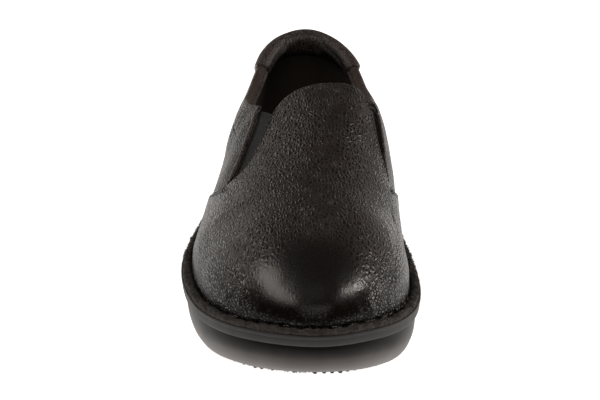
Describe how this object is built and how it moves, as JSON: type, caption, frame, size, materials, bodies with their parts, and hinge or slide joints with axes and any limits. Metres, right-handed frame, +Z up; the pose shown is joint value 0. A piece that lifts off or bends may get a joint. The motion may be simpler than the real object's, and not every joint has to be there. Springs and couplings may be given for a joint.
{
  "type": "walking shoe",
  "caption": "Low slip-on walking shoe for a right foot: hollow leather upper with elastic side gores and a padded collar on a rimmed, grooved rubber sole.",
  "frame": {"origin": "on the floor under the middle of the sole rim's plan", "axes": "+Z up, toe to -Y, heel to +Y, medial (big toe) side to +X"},
  "size_m": [0.1124, 0.3, 0.1007],
  "materials": {
    "upper leather": "tumbled, soft sheen",
    "cuff leather": "tumbled, soft sheen",
    "gore elastic": "matt, fine ribs",
    "welt": "raw, matt",
    "midsole rubber": "matt",
    "outsole rubber": "satin",
    "footbed cover": "matt"
  },
  "bodies": {
    "root": {"outsole": "outsole rubber", "midsole": "midsole rubber", "welt": "welt", "upper": "upper leather", "gore_lateral": "gore elastic", "gore_medial": "gore elastic", "collar_cuff": "cuff leather", "insole": "footbed cover"}
  },
  "joints": []
}
